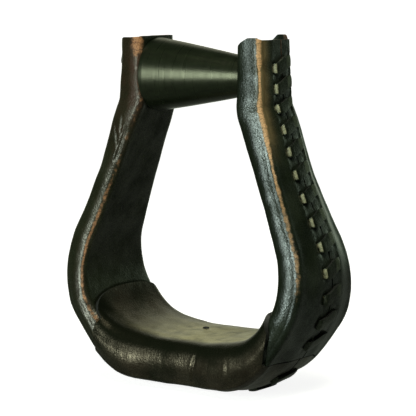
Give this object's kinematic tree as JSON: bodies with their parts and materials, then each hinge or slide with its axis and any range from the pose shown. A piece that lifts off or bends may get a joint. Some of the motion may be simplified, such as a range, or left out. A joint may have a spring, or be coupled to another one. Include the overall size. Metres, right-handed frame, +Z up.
{
  "type": "leather laced stirrup",
  "caption": "Western bell stirrup of bent wood covered in dark leather, laced along the outer face, with a tapered wooden strap roller that turns between the leg tops.",
  "frame": {"origin": "on the floor under the middle of the tread, at the lowest straps of the underside lacing", "axes": "+Z up from the tread to the roller, +X along the roller towards its small end, -Y the front"},
  "size_m": [0.1544, 0.0638, 0.1819],
  "materials": {
    "frame_wood": "bare bent hardwood",
    "leg_leather": "oiled, near black, worn tan along the edges",
    "tread_leather": "oiled dark brown, scuffed olive tan on top",
    "lace_leather": "dark flat thong, shiny at the bends",
    "roller_wood": "turned hardwood, stained green black, satin",
    "plated_steel": "zinc plated",
    "dark_steel": "blued"
  },
  "bodies": {
    "root": {"bent_frame": "frame_wood", "tread_block": "frame_wood", "block_screw_left": "plated_steel", "block_screw_right": "plated_steel", "right_leg_cover": "leg_leather", "left_leg_cover": "leg_leather", "tread_cover": "tread_leather", "right_leg_lace": "lace_leather", "left_leg_lace": "lace_leather", "tread_lace": "lace_leather", "tread_tack": "dark_steel", "roller_sleeve": "plated_steel", "roller_bolt": "plated_steel", "bolt_nut": "plated_steel", "head_washer": "plated_steel", "nut_washer": "plated_steel"},
    "roller": {"roller": "roller_wood"}
  },
  "joints": [
    {"name": "roller_spin", "type": "hinge", "parent": "root", "child": "roller", "pos_m": [0, 0, 0.161], "axis": [1, 0, 0], "continuous": true}
  ]
}
